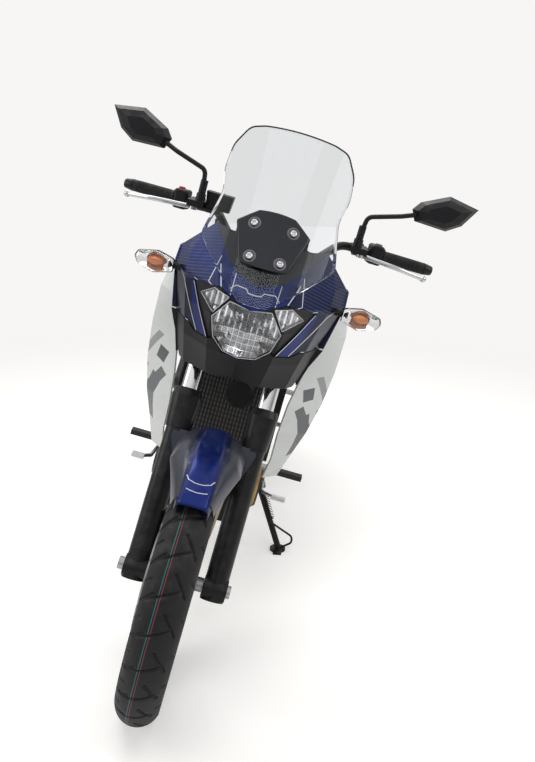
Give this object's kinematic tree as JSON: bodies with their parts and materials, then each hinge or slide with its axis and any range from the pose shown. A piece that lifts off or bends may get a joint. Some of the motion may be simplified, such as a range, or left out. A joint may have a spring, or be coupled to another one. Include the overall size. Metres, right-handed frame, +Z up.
{
  "type": "adventure motorcycle",
  "caption": "Middleweight adventure motorcycle with wire wheels, tall clear windscreen and beaked blue nose, leaning on its side stand.",
  "frame": {"origin": "on the floor, under the middle of the parked motorcycle's box", "axes": "+X to the rider's left, the side it leans to; +Y to the rear; +Z up"},
  "size_m": [0.9766, 2.164, 1.3903],
  "materials": {
    "blue_paint": "candy gloss",
    "white_paint": "gloss",
    "grey_plastic": "metallic grey",
    "black_plastic": "grained",
    "black_metal": "satin",
    "clear_screen": "clear",
    "lens": "clear",
    "red_lens": "clear red",
    "chrome": "polished",
    "silver": "satin",
    "steel": "brushed",
    "tyre": "matt",
    "rubber": "matt",
    "bronze": "satin",
    "vinyl": "grained",
    "header_steel": "heat tinted"
  },
  "bodies": {
    "front_wheel": {"front_tyre": "tyre", "front_wheel_rim": "black_metal", "front_brake_disc": "steel"},
    "rear_wheel": {"rear_tyre": "tyre", "rear_wheel_rim": "black_metal", "rear_disc_and_sprocket": "steel"},
    "steering": {"fork_legs": "black_metal", "fork_tubes": "chrome", "fork_yokes": "black_metal", "front_axle": "steel", "front_caliper": "silver", "front_fender": "blue_paint", "fender_braces": "grey_plastic", "handlebar": "black_metal", "hand_grips": "rubber", "switch_housings": "black_plastic", "lever_perches": "black_metal", "levers": "silver", "mirrors": "black_plastic"},
    "side_stand": {"side_stand": "black_metal"},
    "filler_cap": {"filler_cap": "silver"},
    "root": {"frame_tubes": "black_metal", "engine": "black_metal", "engine_covers": "bronze", "radiator": "black_metal", "horn": "black_metal", "exhaust_pipes": "header_steel", "silencer": "black_metal", "fuel_tank": "white_paint", "seat": "vinyl", "nose_fairing": "blue_paint", "headlight": "lens", "nose_trim": "black_plastic", "windscreen": "clear_screen", "screen_cover": "black_plastic", "dash_panel": "black_plastic", "side_shrouds": "white_paint", "turn_signals": "lens", "side_covers": "black_plastic", "tail_cowl": "black_plastic", "tail_lamp": "red_lens", "rear_fender": "black_plastic", "rear_carrier": "black_metal", "swingarm": "black_metal", "rear_shock": "black_metal", "rear_axle": "steel", "drive_chain": "steel", "front_sprocket": "steel", "rear_caliper": "silver", "foot_pegs": "steel", "pedals": "silver"}
  },
  "joints": [
    {"name": "steering_hinge", "type": "hinge", "parent": "root", "child": "steering", "pos_m": [-0.05246, -0.40814, 0.9718], "axis": [0.2174, 0.4112, 0.8853], "range_deg": [-38, 38]},
    {"name": "front_wheel_hinge", "type": "hinge", "parent": "steering", "child": "front_wheel", "pos_m": [-0.2118, -0.75096, 0.32294], "axis": [0.9711, 0.0001, -0.2385], "continuous": true},
    {"name": "rear_wheel_hinge", "type": "hinge", "parent": "root", "child": "rear_wheel", "pos_m": [-0.21442, 0.69904, 0.31282], "axis": [0.9711, 0.0001, -0.2385], "continuous": true},
    {"name": "side_stand_hinge", "type": "hinge", "parent": "root", "child": "side_stand", "pos_m": [-0.07287, 0.06908, 0.21809], "axis": [0.9419, -0.0001, 0.3359], "range_deg": [0, 100]},
    {"name": "filler_cap_hinge", "type": "hinge", "parent": "root", "child": "filler_cap", "pos_m": [-0.0484, -0.22822, 0.98837], "axis": [0.9711, 0.0001, -0.2385], "range_deg": [0, 90]}
  ]
}
